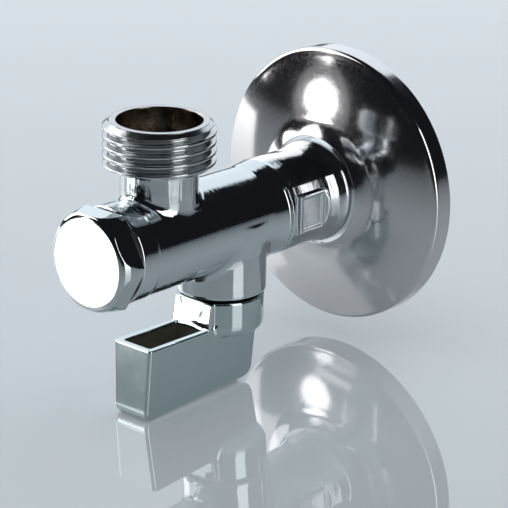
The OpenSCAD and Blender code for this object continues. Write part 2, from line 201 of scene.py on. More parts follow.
# ---------------------------------------------------------------- meshes
def mesh_object(name, verts, faces, normals=None):
    """Object made from vertices in millimetres and an array of quads."""
    verts = np.asarray(verts, dtype=np.float64) * MM
    faces = np.asarray(faces, dtype=np.int32)
    loop_starts = np.arange(0, faces.size, faces.shape[1], dtype=np.int32)
    mesh = bpy.data.meshes.new(name)
    mesh.vertices.add(len(verts))
    mesh.vertices.foreach_set("co", verts.ravel())
    mesh.loops.add(faces.size)
    mesh.loops.foreach_set("vertex_index", faces.ravel())
    mesh.polygons.add(len(faces))
    mesh.polygons.foreach_set("loop_start", loop_starts)
    mesh.update(calc_edges=True)
    mesh.validate()
    mesh.polygons.foreach_set("use_smooth", np.ones(len(mesh.polygons), dtype=bool))
    if normals is not None:
        mesh.normals_split_custom_set_from_vertices(normals.tolist())
    obj = bpy.data.objects.new(name, mesh)
    bpy.context.collection.objects.link(obj)
    return obj


def net_cells(value, grid, step):
    """Mean crossing point of each cell, the cells that have one, and the crossed edges by axis."""
    count = np.array(value.shape)
    inside = value < 0
    total = np.zeros((*(count - 1), 3))
    hits = np.zeros(count - 1)
    crossings = []
    for axis in range(3):
        a = [slice(None)] * 3
        b = [slice(None)] * 3
        a[axis], b[axis] = slice(0, -1), slice(1, None)
        va, vb = value[tuple(a)], value[tuple(b)]
        cross = inside[tuple(a)] != inside[tuple(b)]
        t = np.where(cross, va / np.where(cross, va - vb, 1.0), 0.0)
        point = grid[tuple(a)].copy()
        point[..., axis] += t * step
        u, w = (axis + 1) % 3, (axis + 2) % 3
        for du in (0, 1):
            for dw in (0, 1):
                src = [slice(None)] * 3
                dst = [slice(None)] * 3
                for other, d in ((u, du), (w, dw)):
                    n = count[other]
                    src[other] = slice(0, n - 1) if d == 0 else slice(1, n)
                    dst[other] = slice(0, n - 1)
                flag = cross[tuple(src)]
                hits[tuple(dst)] += flag
                total[tuple(dst)] += point[tuple(src)] * flag[..., None]
        crossings.append((u, w, cross, inside[tuple(a)]))
    used = hits > 0
    return total[used] / hits[used][:, None], used, crossings


def net_faces(used, crossings):
    """One quad for each crossed edge, through the four cells around it."""
    cell_shape = used.shape
    index = np.full(cell_shape, -1)
    index[used] = np.arange(used.sum())
    faces = []
    for u, w, cross, start_inside in crossings:
        where = np.argwhere(cross)
        ok = (where[:, u] > 0) & (where[:, w] > 0)
        ok &= (where[:, u] < cell_shape[u]) & (where[:, w] < cell_shape[w])
        where = where[ok]
        quad_corners = []
        for du, dw in ((1, 1), (0, 1), (0, 0), (1, 0)):
            cell = where.copy()
            cell[:, u] -= du
            cell[:, w] -= dw
            quad_corners.append(index[tuple(cell.T)])
        quad = np.stack(quad_corners, axis=1)
        flip = ~start_inside[tuple(where.T)]
        quad[flip] = quad[flip][:, ::-1]
        faces.append(quad)
    return np.concatenate(faces)


def net_surface(name, field, low, high, step):
    """Closed surface where field is zero: a surface net whose points are moved onto the field."""
    low, high = np.array(low, float), np.array(high, float)
    count = np.ceil((high - low) / step).astype(int) + 1
    axes = [low[i] + step * np.arange(count[i]) for i in range(3)]
    grid = np.stack(np.meshgrid(*axes, indexing="ij"), axis=-1)
    value = field(*grid.reshape(-1, 3).T).reshape(count)
    verts, used, crossings = net_cells(value, grid, step)
    faces = net_faces(used, crossings)
    for _ in range(3):
        g = gradient(field, verts)
        d = field(*verts.T)
        move = -(d / np.maximum((g * g).sum(1), 0.2))[:, None] * g
        verts += np.clip(move, -0.5 * step, 0.5 * step)
    g = gradient(field, verts)
    normals = g / np.maximum(np.linalg.norm(g, axis=1), 1e-9)[:, None]
    return mesh_object(name, verts, faces, normals)


def soft_path(path_corners, spacing=0.4):
    """Closed outline of (radius, height, rounding) corners, rounded and cut into short steps."""
    pts = []
    n = len(path_corners)
    for i in range(n):
        before, here, after = (np.array(path_corners[(i + k) % n][:2], float) for k in (-1, 0, 1))
        r = path_corners[i][2]
        start = here + (before - here) / np.linalg.norm(before - here) * r
        end = here + (after - here) / np.linalg.norm(after - here) * r
        steps = 6 if r > 0 else 0
        for s in range(steps + 1):
            t = s / max(steps, 1)
            pts.append((1 - t) ** 2 * start + 2 * t * (1 - t) * here + t * t * end)
    out = []
    for a, b in zip(pts, pts[1:] + pts[:1]):
        part_count = max(1, int(math.ceil(np.linalg.norm(b - a) / spacing)))
        for s in range(part_count):
            out.append(a + (b - a) * s / part_count)
    keep = [p for i, p in enumerate(out) if np.linalg.norm(p - out[i - 1]) > 1e-6]
    return np.array(keep)


def turned(name, path, place, segments=256, radius_at=None):
    """Turns a closed path of (radius, height); place maps (x, y, height) arrays to a point."""
    theta = np.arange(segments) * 2 * math.pi / segments
    r = np.repeat(path[None, :, 0], segments, axis=0)
    h = np.repeat(path[None, :, 1], segments, axis=0)
    if radius_at is not None:
        r = radius_at(r, h, theta[:, None])
    verts = place(r * np.cos(theta)[:, None], r * np.sin(theta)[:, None], h).reshape(-1, 3)
    width = len(path)
    rows, cols = np.meshgrid(np.arange(segments), np.arange(width), indexing="ij")
    here, there = rows * width, (rows + 1) % segments * width
    after = (cols + 1) % width
    faces = np.stack([here + cols, there + cols, there + after, here + after], -1)
    return mesh_object(name, verts, faces.reshape(-1, 4))


def about_y(a, b, h):
    """Turned about the barrel's axis: height runs along Y."""
    return np.stack([a, h, -b], axis=-1)


def about_outlet(a, b, h):
    """Turned about the outlet's vertical axis."""
    return np.stack([a, b + Y_OUTLET, h], axis=-1)


def face_centres(mesh):
    """x, y and z of the middle of each face, in millimetres."""
    return (np.array([face.center for face in mesh.polygons]) / MM).T


def finish_faces(obj, main, other, is_other):
    """Gives a piece its main material, and the other one on the faces picked out."""
    obj.data.materials.append(MATERIALS[main])
    obj.data.materials.append(MATERIALS[other])
    obj.data.polygons.foreach_set("material_index", is_other.astype(np.int32))


# Height of a rounded pipe thread over half a pitch, from 1 at the crest to 0 at the root
thread_outline = smoothed_outline([(0.0, 1.0), (0.13, 1.0), (0.43, 0.0), (0.5, 0.0)], 0.035)


def thread_radius(phase):
    """Radius of the pipe thread for a phase in turns, with a crest at each whole number."""
    from_crest = np.abs((phase + 0.5) % 1.0 - 0.5)
    return ROOT_R + THREAD_DEPTH * thread_outline(from_crest)


# ---------------------------------------------------------------- valve body
barrel_outline = smoothed_outline([
    (Y_FRONT, BARREL_FRONT_R),
    (Y_BAND - 0.1, BARREL_FRONT_R),
    (Y_BAND + 0.1, BARREL_FRONT_R - 0.14),
    (Y_SECTION - 4.0, BARREL_REAR_R),
    (Y_SECTION + 0.5, SWELL_R),
    (Y_SECTION + 4.0, SWELL_R),
    (Y_WAIST, WAIST_R),
    (Y_WAIST + 2.0, WAIST_R + 0.25),
    (Y_COLLAR, COLLAR_R),
    (Y_BODY_END, COLLAR_R),
], BARREL_BLUR)


def water_way(x, y, z):
    """All the bores that water runs through, each taken a little past its ends."""
    from_axis = np.hypot(x, z)
    from_outlet = np.hypot(x, y - Y_OUTLET)
    ways = [
        np.maximum(from_axis - CHAMBER_R, slab(y, Y_FRONT - 2, Y_CHAMBER)),
        np.maximum(from_axis - PASSAGE_R, slab(y, Y_CHAMBER - 1, Y_SHOULDER + 1)),
        np.maximum(from_axis - CAVITY_R, slab(y, Y_SHOULDER, Y_SOCKET + 1)),
        np.maximum(from_axis - SOCKET_R, slab(y, Y_SOCKET, Y_BODY_END + 2)),
        np.maximum(from_axis - MOUTH_R, slab(y, Y_BODY_END - MOUTH_DEPTH, Y_BODY_END + 2)),
        np.maximum(from_outlet - RISER_R, slab(z, 0, OUTLET_TOP)),
    ]
    return np.minimum.reduce(ways)


def stem_way(x, y, z):
    """The hole for the stem, with the seat for its shoulder."""
    from_stem = np.hypot(x, y - Y_STEM)
    seat = np.maximum(from_stem - STEM_SHOULDER_R - STEM_PLAY, slab(z, STEM_SEAT_Z, 0))
    shank = np.maximum(from_stem - STEM_R - STEM_PLAY, slab(z, BOSS_BOTTOM - 2, 0))
    return np.minimum(seat, shank)


def wrench_flats(x, y, z):
    """Material cut away beside the section: two flats that run out on a slant of 45 degrees."""
    beyond = FLAT_X - np.abs(x)
    slant = ((y - Y_FLAT_REAR) - (np.abs(x) - FLAT_X)) * 0.7071
    return np.maximum.reduce([beyond, Y_FLAT_FRONT - y, slant, np.abs(z) - FLAT_HALF_H])


def plaque(x, y, z):
    """Blank raised frame on each flat."""
    side = np.abs(x)
    middle_y, half_y = (PLAQUE_Y0 + PLAQUE_Y1) / 2, (PLAQUE_Y1 - PLAQUE_Y0) / 2
    block_x = FLAT_X + PLAQUE_RISE - PLAQUE_ROOT
    block_half = (PLAQUE_ROOT, half_y, PLAQUE_HALF_H)
    block = rounded_box(side, y, z, (block_x, middle_y, 0), block_half, 0.28)
    well_x = FLAT_X + PLAQUE_RISE - PLAQUE_RECESS + PLAQUE_ROOT
    well_half = (PLAQUE_ROOT, half_y - PLAQUE_RIM, PLAQUE_HALF_H - PLAQUE_RIM)
    well = rounded_box(side, y, z, (well_x, middle_y, 0), well_half, 0.25)
    return smooth_max(block, -well, BORE_EDGE)


def body_field(x, y, z):
    """The casting: barrel, ridges, flats and frames, the outlet's neck, the stem's boss, the bores."""
    barrel = np.hypot(x, z) - barrel_outline(y)
    barrel = smooth_max(barrel, slab(y, Y_FRONT, Y_BODY_END), TURNED_EDGE)
    ridge = np.maximum(np.hypot(x, z) - SECTION_R, slab(y, Y_SECTION - 0.2, Y_SECTION + RIDGE_W))
    ridge = smooth_max(ridge, np.abs(z) - RIDGE_HALF_H, 0.8)
    barrel = smooth_min(barrel, ridge, 0.5)
    barrel = smooth_max(barrel, -wrench_flats(x, y, z), FLAT_EDGE)
    barrel = smooth_min(barrel, plaque(x, y, z), 0.2)
    from_outlet = np.hypot(x, y - Y_OUTLET)
    neck = np.maximum(from_outlet - NECK_R, slab(z, 0, BORE_FLOOR))
    flange = smooth_max(from_outlet - ROOT_R, slab(z, THREAD_BASE, BORE_FLOOR), 0.1)
    neck = smooth_min(neck, flange, THREAD_FILLET)
    boss = smooth_max(np.hypot(x, y - Y_STEM) - BOSS_R, slab(z, BOSS_BOTTOM, 0), TURNED_EDGE)
    solid = smooth_min(smooth_min(barrel, neck, ROOT_FILLET), boss, ROOT_FILLET)
    solid = smooth_max(solid, -water_way(x, y, z), BORE_EDGE)
    return np.maximum(solid, -stem_way(x, y, z))


def make_body():
    """The casting, chromed outside and bare brass in its bores."""
    low = (-SECTION_R - 1, Y_FRONT - 0.8, BOSS_BOTTOM - 0.8)
    high = (SECTION_R + 1, Y_BODY_END + 0.8, BORE_FLOOR + 0.8)
    obj = net_surface("valve_body", body_field, low, high, BODY_CELL)
    x, y, z = face_centres(obj.data)
    bored = (water_way(x, y, z) < BORE_EDGE) | (stem_way(x, y, z) < BORE_EDGE)
    finish_faces(obj, "chrome", "brass", bored)
    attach(obj, "valve")
    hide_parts("body")


def outlet_thread_radius(r, z, theta):
    """Helical pipe thread outside, limited by the chamfer at the rim and the relief at the base."""
    start = math.atan2(-0.73, 0.68)
    relief_r = ROOT_R - 0.1
    thread = thread_radius((z - FIRST_CREST_Z) / PITCH - (theta - start) / TURN)
    chamfer = RIM_R + (OUTLET_TOP - z) * RIM_SLOPE
    base = relief_r + np.maximum(z - THREAD_BASE - 0.1, 0) * BASE_SLOPE
    thread = np.minimum(np.minimum(thread, chamfer), np.maximum(base, relief_r))
    outside = (r > ROOT_R - 0.02) & (z < OUTLET_TOP - 0.02)
    return np.where(outside, thread, r)


def make_outlet():
    """The outlet's threaded ring, chromed outside and bare brass in its bore."""
    ring = [
        (RIM_R, OUTLET_TOP, 0.0),
        (ROOT_R, OUTLET_TOP - 0.05, 0.0),
        (ROOT_R, THREAD_BASE + 0.02, 0.0),
        (BORE_R, THREAD_BASE, 0.0),
        (BORE_R, OUTLET_TOP, 0.22),
    ]
    obj = turned("outlet_thread", soft_path(ring, 0.07), about_outlet, 288, outlet_thread_radius)
    x, y, _ = face_centres(obj.data)
    bored = np.hypot(x, y - Y_OUTLET) < BORE_R + 0.1
    finish_faces(obj, "chrome_thread", "brass", bored)
    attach(obj, "valve")
    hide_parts("body")


# ---------------------------------------------------------------- inlet connector
def inlet_thread_radius(r, y, theta):
    """Helical pipe thread on the nipple, with a chamfered end and a run-out at the collar."""
    rim_r = ROOT_R - NIPPLE_RIM_DROP
    chamfer = rim_r + (INLET_END - y) * 0.9
    run_out = ROOT_R + np.maximum(y + 0.9, 0) * 2.0
    thread = np.minimum(thread_radius(y / PITCH - theta / TURN), np.maximum(chamfer, rim_r))
    thread = np.minimum(thread, run_out)
    on_thread = (y > -0.95) & (y < INLET_END - 0.1)
    outside = (r > ROOT_R - 0.02) & (r < ROOT_R + 0.02) & on_thread
    return np.where(outside, thread, r)


def make_inlet():
    """Brass connector from the ball's rear seat through the body to the wall."""
    section = [
        (PASSAGE_R, Y_INLET_FRONT, 0.3),
        (PASSAGE_R, INLET_END, 0.3),
        (ROOT_R - NIPPLE_RIM_DROP, INLET_END, 0.0),
        (ROOT_R, INLET_END - 0.1, 0.0),
        (ROOT_R, NIPPLE_START, 0.0),
        (COLLAR_R - 0.05, NIPPLE_START, 0.15),
        (COLLAR_R - 0.05, Y_BODY_END, 0.0),
        (SOCKET_R - 0.1, Y_BODY_END, 0.1),
        (SOCKET_R - 0.1, Y_SOCKET + 0.3, 0.2),
        (CAVITY_R - 0.1, Y_SOCKET + 0.3, 0.0),
        (CAVITY_R - 0.1, Y_INLET_FRONT, 0.3),
    ]
    obj = turned("inlet_nipple", soft_path(section, 0.1), about_y, 192, inlet_thread_radius)
    obj.data.materials.append(MATERIALS["brass"])
    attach(obj, "valve")
    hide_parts("inlet_connector")


# ---------------------------------------------------------------- escutcheon
def dome_rise(r):
    """How far the dome stands above its foot at radius r, without the flare."""
    return DOME_K * ((DOME_FOOT_R - DOME_CENTRE_R) ** 2 - (r - DOME_CENTRE_R) ** 2)


def dome_y(r):
    """Y of the dome's outside at radius r: a shallow crown, flared towards the collar."""
    drop = ROSE_HEIGHT - ROSE_RIM - DOME_STEP - dome_rise(ROSE_HOLE_R)
    flare = drop * (max(0.0, FLARE_R - r) / (FLARE_R - ROSE_HOLE_R)) ** 2
    return -ROSE_RIM - DOME_STEP - dome_rise(r) - flare


def make_escutcheon():
    """Pressed sheet with a flanged rim, open towards the wall."""
    steps = np.linspace(DOME_FOOT_R - 0.6, ROSE_HOLE_R, 40)
    outer = [(ROSE_R, 0, 0.12), (ROSE_R, -ROSE_RIM - 0.45, 0.7)]
    outer += [(r, dome_y(r), 0.0) for r in steps[:-1]]
    outer += [(ROSE_HOLE_R, dome_y(ROSE_HOLE_R), 0.15)]
    inner = [(ROSE_HOLE_R, dome_y(ROSE_HOLE_R) + ROSE_T, 0.1)]
    inner += [(r, dome_y(r) + ROSE_T, 0.0) for r in steps[::-1][1:]]
    inner += [(ROSE_R - ROSE_T, -ROSE_RIM + 0.3, 0.3), (ROSE_R - ROSE_T, 0, 0.12)]
    obj = turned("rosette", soft_path(outer + inner, 0.5), about_y, 320)
    obj.data.materials.append(MATERIALS["rosette"])
    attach(obj, "rosette")
    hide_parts("escutcheon")


# ---------------------------------------------------------------- lever
def handle_field(x, y, z):
    """The lever's handle: a tapered bar with rounded ends and a foot that slopes forward."""
    top_front, foot_front = (HANDLE_FRONT_TOP, HANDLE_TOP), (HANDLE_FRONT, FOOT_FRONT)
    foot_back, top_back = (HANDLE_BACK_FOOT, FOOT_BACK), (HANDLE_BACK, HANDLE_TOP)
    front = half_plane(y, z, foot_front, top_front)
    foot = half_plane(y, z, foot_back, foot_front)
    back = half_plane(y, z, top_back, foot_back)
    taper = (HANDLE_HALF_W - HANDLE_FOOT_HALF_W) / (HANDLE_TOP - FOOT_FRONT)
    side = np.abs(x) - HANDLE_HALF_W - (z - HANDLE_TOP) * taper
    ends = smooth_max(front, foot, 2.2)
    ends = smooth_max(ends, back, 2.2)
    handle = smooth_max(ends, side, 0.75)
    return smooth_max(handle, z - HANDLE_TOP, BREAK)


def lever_field(x, y, z):
    """Handle, round hub and the leaning block between them, less the pocket and the screw's hole."""
    from_stem = np.hypot(x, y - Y_STEM)
    hub = smooth_max(from_stem - HUB_R, z - HUB_TOP, 0.45)
    hub = smooth_max(hub, HUB_BOTTOM - z, 2.4)
    lean = (BLOCK_FRONT - y + (z - BLOCK_BOTTOM) * BLOCK_LEAN) * 0.985
    hub = smooth_max(hub, lean, CAST_EDGE)
    block = smooth_max(np.abs(x) - HANDLE_HALF_W, np.maximum(lean, y - Y_STEM), CAST_EDGE)
    block = smooth_max(block, slab(z, BLOCK_BOTTOM - 1, HUB_TOP - 0.2), CAST_EDGE)
    solid = smooth_min(smooth_min(handle_field(x, y, z), hub, HUB_FILLET), block, 0.2)
    pocket_front = HANDLE_FRONT + POCKET_WALL + POCKET_FRONT_EXTRA
    pocket_sides = np.abs(x) - HANDLE_HALF_W + POCKET_WALL
    pocket = smooth_max(pocket_sides, slab(y, pocket_front, POCKET_BACK), 0.5)
    pocket = smooth_max(pocket, POCKET_FLOOR - z, 0.5)
    solid = smooth_max(solid, -pocket, CAST_EDGE)
    recess = np.maximum(from_stem - SCREW_RECESS_R, z - WEB_BOTTOM)
    socket = np.maximum(from_stem - STEM_R - SOCKET_PLAY, slab(z, WEB_TOP, 0))
    return np.maximum(solid, -np.minimum(recess, socket))


def make_lever():
    """Chromed lever, with the casting left dull in its pocket and coloured near black there as painted
    shade.
    """
    low = (-HUB_R - 0.7, HANDLE_FRONT - 0.7, FOOT_FRONT - 0.7)
    high = (HUB_R + 0.7, Y_STEM + HUB_R + 0.7, HUB_TOP + 0.7)
    obj = net_surface("lever_handle", lever_field, low, high, LEVER_CELL)
    x, y, z = face_centres(obj.data)
    # The pocket's faces get a dull cast finish with painted shade: a near-black colour in the recess.
    in_pocket = np.abs(x) < HANDLE_HALF_W - POCKET_WALL + 0.12
    in_pocket &= (y > HANDLE_FRONT + POCKET_WALL + 0.2) & (y < POCKET_BACK + 0.2)
    in_pocket &= (z > POCKET_FLOOR - BREAK) & (z < HANDLE_TOP - 0.5)
    finish_faces(obj, "lever", "pocket", in_pocket)
    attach(obj, "handle")
    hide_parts("lever")


# ---------------------------------------------------------------- strainer plug
plug_outline = smoothed_outline([
    (PLUG_FRONT - 1, PLUG_FACE_R - 0.3),
    (PLUG_FRONT, PLUG_FACE_R),
    (PLUG_FRONT + 0.2, PLUG_FACE_R + 0.55),
    (PLUG_FRONT + 0.65, PLUG_FACE_R + 0.95),
    (PLUG_FRONT + 1.8, PLUG_FACE_R + 1.3),
    (PLUG_FRONT + 3.6, PLUG_R - 0.1),
    (PLUG_REAR, PLUG_R),
], 0.12)


def plug_field(x, y, z):
    """Hexagonal head with rounded corners, threaded shank, O-ring groove and hollow spigot."""
    from_axis = np.hypot(x, z)
    angles = [math.radians(a) for a in (30, 90, 150)]
    flats = [np.abs(x * math.cos(a) + z * math.sin(a)) - PLUG_HALF_AF for a in angles]
    hexagon = smooth_max(smooth_max(flats[0], flats[1], BREAK), flats[2], BREAK)
    head = smooth_max(hexagon, from_axis - plug_outline(y), 0.1)
    face = PLUG_FRONT - y + FACE_DISH * np.clip((FACE_DISH_R - from_axis) / 0.3, 0, 1)
    head = smooth_max(head, np.maximum(face, y - PLUG_REAR), 0.25)
    turns = y / PLUG_THREAD_PITCH + np.arctan2(z, x) / TURN
    ridge = PLUG_THREAD_DEPTH / 2 * (1 - np.cos(TURN * turns))
    shank = np.maximum(from_axis - PLUG_THREAD_R + ridge, slab(y, PLUG_REAR - 1, Y_GROOVE))
    groove = np.maximum(from_axis - GROOVE_R, slab(y, Y_GROOVE - 1, Y_GROOVE + GROOVE_W + 0.1))
    spigot = np.maximum(from_axis - SPIGOT_R, slab(y, Y_GROOVE + GROOVE_W, Y_SPIGOT))
    solid = np.minimum.reduce([head, shank, groove, spigot])
    bore = np.maximum(from_axis - PLUG_BORE_R, slab(y, PLUG_FLOOR, Y_SPIGOT + 1))
    return np.maximum(solid, -bore)


def make_plug():
    """Chromed plug that closes the front of the barrel and holds the strainer."""
    low = (-PLUG_R - 0.4, PLUG_FRONT - 0.5, -PLUG_R - 0.4)
    high = (PLUG_R + 0.4, Y_SPIGOT + 0.5, PLUG_R + 0.4)
    obj = net_surface("strainer_plug", plug_field, low, high, PLUG_CELL)
    obj.data.materials.append(MATERIALS["plug"])
    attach(obj, "plug")
    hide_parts("filter_cap")


def make_gasket():
    """Flat gasket between the plug's head and the barrel."""
    inner_r, outer_r = PLUG_THREAD_R + 0.02, BARREL_FRONT_R - GASKET_INSET
    ring = [
        (inner_r, Y_FRONT, 0.05),
        (outer_r, Y_FRONT, 0.16),
        (outer_r, PLUG_REAR, 0.16),
        (inner_r, PLUG_REAR, 0.05),
    ]
    obj = turned("plug_gasket", soft_path(ring, 0.3), about_y, 160)
    obj.data.materials.append(MATERIALS["rubber"])
    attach(obj, "plug")
    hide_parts("cap_gasket")


# ---------------------------------------------------------------- materials
def new_material(name, color, metallic, roughness):
    mat = bpy.data.materials.new(name)
    mat.use_nodes = True
    shader = mat.node_tree.nodes["Principled BSDF"]
    shader.inputs["Base Color"].default_value = (*color, 1.0)
    shader.inputs["Metallic"].default_value = metallic
    shader.inputs["Roughness"].default_value = roughness
    return mat, mat.node_tree, shader


def object_place(tree):
    """The point's place on the object at rest, in metres."""
    return tree.nodes.new("ShaderNodeTexCoord").outputs["Object"]


def object_axes(tree):
    """X, Y and Z of the point's place on the object."""
    split = tree.nodes.new("ShaderNodeSeparateXYZ")
    tree.links.new(object_place(tree), split.inputs["Vector"])
    return split.outputs["X"], split.outputs["Y"], split.outputs["Z"]


def noise_at(tree, place, scale, detail):
    noise = tree.nodes.new("ShaderNodeTexNoise")
    noise.inputs["Scale"].default_value = scale
    noise.inputs["Detail"].default_value = detail
    tree.links.new(place, noise.inputs["Vector"])
    return noise.outputs["Fac"]


def object_noise(tree, scale, detail=4.0, stretch=(1, 1, 1)):
    """Noise over the object, drawn out along an axis where stretch is less than 1."""
    mapping = tree.nodes.new("ShaderNodeMapping")
    mapping.inputs["Scale"].default_value = stretch
    tree.links.new(object_place(tree), mapping.inputs["Vector"])
    return noise_at(tree, mapping.outputs["Vector"], scale, detail)


def computed(tree, operation, *values):
    """Output of a Math node with those values linked to its inputs."""
    node = tree.nodes.new("ShaderNodeMath")
    node.operation = operation
    for socket, value in zip(node.inputs, values):
        tree.links.new(value, socket)
    return node.outputs[0]


def ranged(tree, value, low, high, from_low=0.3, from_high=0.7):
    node = tree.nodes.new("ShaderNodeMapRange")
    node.inputs["From Min"].default_value = from_low
    node.inputs["From Max"].default_value = from_high
    node.inputs["To Min"].default_value = low
    node.inputs["To Max"].default_value = high
    tree.links.new(value, node.inputs["Value"])
    return node.outputs["Result"]


def blended_color(tree, factor, low, high):
    """Mix node between two colours, which are its sockets 6 and 7."""
    node = tree.nodes.new("ShaderNodeMix")
    node.data_type = "RGBA"
    node.inputs[6].default_value = (*low, 1.0)
    node.inputs[7].default_value = (*high, 1.0)
    tree.links.new(factor, node.inputs[0])
    return node.outputs[2]


def blended_value(tree, factor, low, high):
    """Mix node between two linked numbers, which are its sockets 2 and 3."""
    node = tree.nodes.new("ShaderNodeMix")
    node.data_type = "FLOAT"
    for socket, value in ((0, factor), (2, low), (3, high)):
        tree.links.new(value, node.inputs[socket])
    return node.outputs[0]


def bumped(tree, shader, height, strength, distance):
    bump = tree.nodes.new("ShaderNodeBump")
    bump.inputs["Strength"].default_value = strength
    bump.inputs["Distance"].default_value = distance
    tree.links.new(height, bump.inputs["Height"])
    tree.links.new(bump.outputs["Normal"], shader.inputs["Normal"])


def chrome(name, color, rough_low, rough_high, ripple):
    """Chrome plate: faint smudges in the gloss, and a slight orange peel."""
    mat, tree, shader = new_material(name, color, 1.0, rough_low)
    smudge = object_noise(tree, 220.0, 5.0)
    tree.links.new(ranged(tree, smudge, rough_low, rough_high), shader.inputs["Roughness"])
    bumped(tree, shader, object_noise(tree, 420.0, 2.0), ripple, 0.0002)
    return mat


def brushed_chrome(name, color):
    """Chrome over a linished casting: fine lines run round the barrel and up the neck."""
    mat, tree, shader = new_material(name, color, 1.0, 0.06)
    smudge = object_noise(tree, 220.0, 5.0)
    tree.links.new(ranged(tree, smudge, 0.04, 0.11), shader.inputs["Roughness"])
    around_barrel = object_noise(tree, 1500.0, 3.0, (0.22, 1.0, 0.22))
    up_neck = object_noise(tree, 1700.0, 3.0, (1.0, 1.0, 0.08))
    deeper = ranged(tree, up_neck, 0.0, 8.0, 0.0, 1.0)
    on_neck = ranged(tree, object_axes(tree)[2], 0.0, 1.0, 8.8 * MM, 10.6 * MM)
    lines = blended_value(tree, on_neck, around_barrel, deeper)
    bumped(tree, shader, lines, 0.14, 0.0002)
    return mat


def raw_brass(name):
    """Machined brass gone dull, in patches of a darker and a lighter tone."""
    mat, tree, shader = new_material(name, (0.58, 0.40, 0.22), 1.0, 0.25)
    tone = object_noise(tree, 350.0, 4.0)
    color = blended_color(tree, ranged(tree, tone, 0, 1), (0.28, 0.25, 0.21), (0.50, 0.44, 0.36))
    tree.links.new(color, shader.inputs["Base Color"])
    tree.links.new(ranged(tree, tone, 0.12, 0.25), shader.inputs["Roughness"])
    bumped(tree, shader, object_noise(tree, 1500.0, 2.0), 0.2, 0.0002)
    return mat


def rosette_steel(name):
    """Polished sheet with faint circular polishing marks."""
    mat, tree, shader = new_material(name, (0.63, 0.62, 0.63), 1.0, 0.1)
    x, _, z = object_axes(tree)
    squares = [computed(tree, "MULTIPLY", v, v) for v in (x, z)]
    radius = computed(tree, "SQRT", computed(tree, "ADD", *squares))
    across = tree.nodes.new("ShaderNodeCombineXYZ")
    tree.links.new(radius, across.inputs["X"])
    rings = noise_at(tree, across.outputs["Vector"], 4200.0, 3.0)
    grain = object_noise(tree, 2600.0, 2.0)
    tree.links.new(ranged(tree, grain, 0.06, 0.16), shader.inputs["Roughness"])
    bumped(tree, shader, rings, 0.05, 0.00005)
    return mat


def plain_metal(name, color, roughness):
    """Unplated metal with a fine grain in its gloss."""
    mat, tree, shader = new_material(name, color, 1.0, roughness)
    grain = object_noise(tree, 1800.0, 3.0)
    tree.links.new(ranged(tree, grain, roughness * 0.7, roughness * 1.4), shader.inputs["Roughness"])
    bumped(tree, shader, object_noise(tree, 3000.0, 2.0), 0.1, 0.0001)
    return mat


def moulded(name, color, roughness):
    """Rubber, plastic, or the lever's dull cast pocket darkened as painted shade: slightly mottled,
    with a fine grain.
    """
    mat, tree, shader = new_material(name, color, 0.0, roughness)
    tone = ranged(tree, object_noise(tree, 600.0, 3.0), 0, 1)
    darker = tuple(c * 0.8 for c in color)
    tree.links.new(blended_color(tree, tone, darker, color), shader.inputs["Base Color"])
    bumped(tree, shader, object_noise(tree, 3500.0, 2.0), 0.15, 0.0001)
    return mat


MATERIALS = {
    "chrome": brushed_chrome("chrome_plate", (0.60, 0.64, 0.66)),
    "chrome_thread": chrome("chrome_plate_thread", (0.48, 0.50, 0.51), 0.12, 0.28, 0.3),
    "plug": chrome("chrome_plate_plug", (0.60, 0.64, 0.65), 0.04, 0.08, 0.015),
    "lever": chrome("chrome_plate_lever", (0.53, 0.60, 0.61), 0.05, 0.1, 0.02),
    # Dull cast pocket, darkened to near black as painted shade in the recess.
    "pocket": moulded("cast_pocket_painted_shade", (0.12, 0.115, 0.09), 0.5),
    "ball": chrome("hard_chrome", (0.80, 0.81, 0.82), 0.05, 0.08, 0.01),
    "brass": raw_brass("machined_brass"),
    "rosette": rosette_steel("polished_steel_sheet"),
    "rubber": moulded("black_rubber", (0.02, 0.02, 0.022), 0.5),
    "ptfe": moulded("white_ptfe", (0.85, 0.85, 0.82), 0.4),
    "steel": plain_metal("spring_steel", (0.55, 0.55, 0.56), 0.3),
    "screw": plain_metal("zinc_plated_steel", (0.62, 0.64, 0.66), 0.25),
    "cover": moulded("grey_plastic", (0.24, 0.24, 0.25), 0.45),
    "strainer": moulded("off_white_plastic", (0.72, 0.72, 0.68), 0.45),
    "mesh": plain_metal("woven_steel", (0.6, 0.61, 0.62), 0.35),
}

CAD_FINISH = {
    "connector_oring": "rubber",
    "front_seat": "ptfe",
    "rear_seat": "ptfe",
    "seat_washer": "steel",
    "ball": "ball",
    "stem": "brass",
    "thrust_washer": "ptfe",
    "stem_oring_upper": "rubber",
    "stem_oring_lower": "rubber",
    "stop_pin": "steel",
    "lever_washer": "steel",
    "lever_screw": "screw",
    "screw_cover": "cover",
    "cap_oring": "rubber",
    "filter_front_ring": "strainer",
    "filter_mesh": "mesh",
    "filter_rear_ring": "strainer",
}


def finish_cad_nodes():
    """Gives each CAD node that stays in view its own material."""
    for node, key in CAD_FINISH.items():
        for material_slot in bpy.data.objects[node].material_slots:
            material_slot.material = MATERIALS[key]


# ---------------------------------------------------------------- stage, in metres
CENTRE = Vector((0.0, -0.035, 0.0))
FLOOR_AT_WALL, FLOOR_AT_FOOT = -30.4 * MM, -33.3 * MM
FLOOR_HALF_SIZE = 3.0
CAMERA_PLACE = (0.3818, -0.4402, 0.1879)
CAMERA_LENS = 222.2
CAMERA_AZIMUTH, CAMERA_ELEVATION, CAMERA_ROLL = 42.639, 19.272, 0.871


def direction(azimuth, elevation):
    """Unit vector; azimuth is measured from +X towards +Y, in degrees."""
    a, e = math.radians(azimuth), math.radians(elevation)
    return Vector((math.cos(a) * math.cos(e), math.sin(a) * math.cos(e), math.sin(e)))


